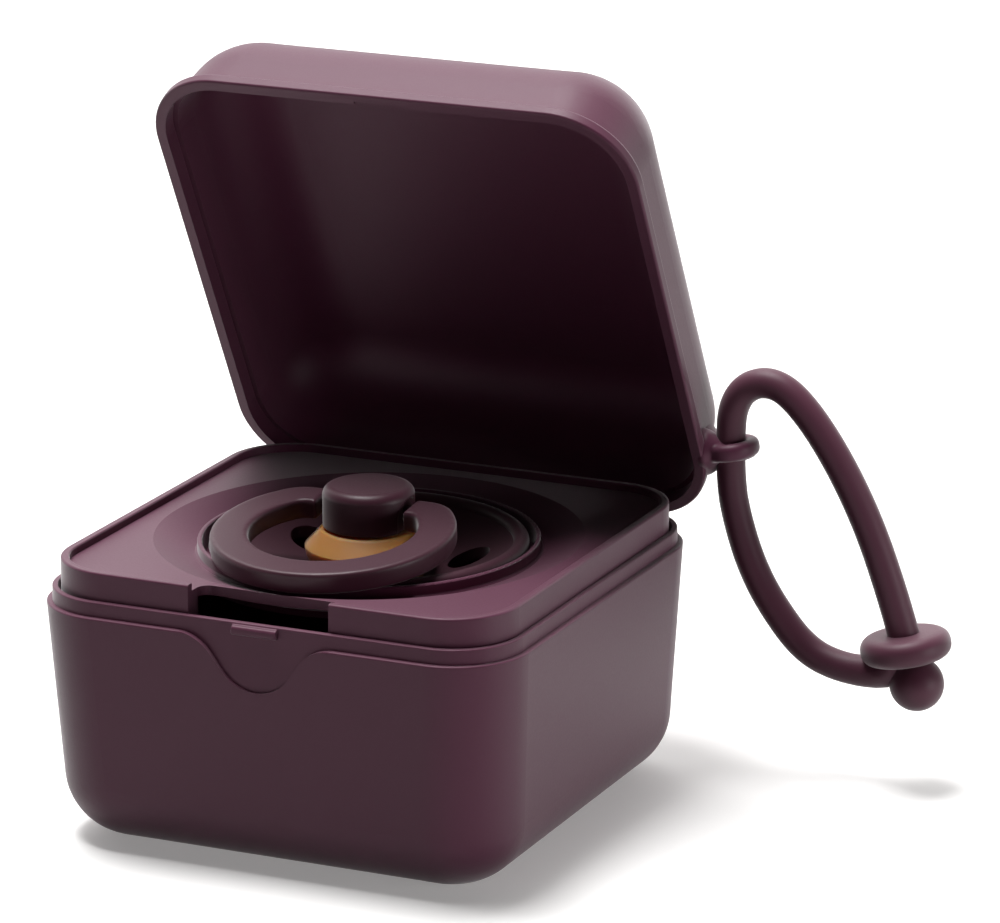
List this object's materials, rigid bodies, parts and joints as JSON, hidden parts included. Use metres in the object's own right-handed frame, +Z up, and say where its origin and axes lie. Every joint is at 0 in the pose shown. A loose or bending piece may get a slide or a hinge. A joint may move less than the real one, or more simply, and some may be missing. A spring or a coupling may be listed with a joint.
{
  "type": "pacifier sterilizer case",
  "caption": "Square snap-shut box for steam-sterilizing and carrying a pacifier, with a hinged lid, a lift-out tray that holds the pacifier and a silicone carrying loop.",
  "frame": {"origin": "on the surface that the case stands on, under the middle of the base", "axes": "+Z up, front with the thumb scoop towards -Y, eyelet and strap towards +X, hinge along X at the back"},
  "size_m": [0.1069, 0.0829, 0.1009],
  "materials": {
    "case_plastic": "satin moulded polypropylene, dark plum",
    "pacifier_plastic": "satin moulded polypropylene, dark plum",
    "strap_silicone": "matte silicone, dark plum",
    "latex": "smooth natural latex, amber"
  },
  "bodies": {
    "base": {"base_shell": "case_plastic"},
    "tray": {"tray": "case_plastic"},
    "lid": {"lid_shell": "case_plastic"},
    "pacifier": {"pacifier_shield": "pacifier_plastic", "pacifier_nipple": "latex", "pacifier_knob": "pacifier_plastic", "pacifier_retainer": "pacifier_plastic"},
    "handle_ring": {"pacifier_ring": "pacifier_plastic"},
    "strap": {"strap_strand_upper": "strap_silicone", "strap_strand_lower": "strap_silicone", "strap_ball": "strap_silicone", "strap_ring": "strap_silicone"}
  },
  "joints": [
    {"name": "lid_hinge", "type": "hinge", "parent": "base", "child": "lid", "pos_m": [0, 0.0366, 0.0332], "axis": [-1, 0, 0], "range_deg": [-63, 45]},
    {"name": "tray_lift", "type": "slide", "parent": "base", "child": "tray", "axis": [0, 0, 1], "range_m": [0, 0.031]},
    {"name": "pacifier_lift", "type": "slide", "parent": "tray", "child": "pacifier", "axis": [0, 0, 1], "range_m": [0, 0.034]},
    {"name": "ring_swing", "type": "hinge", "parent": "pacifier", "child": "handle_ring", "pos_m": [0, 0, 0.0418], "axis": [-1, 0, 0], "range_deg": [0, 168]},
    {"name": "strap_swing", "type": "hinge", "parent": "lid", "child": "strap", "pos_m": [0.0384, 0.03541, 0.04522], "axis": [0, 0, 1], "range_deg": [-70, 70]}
  ]
}
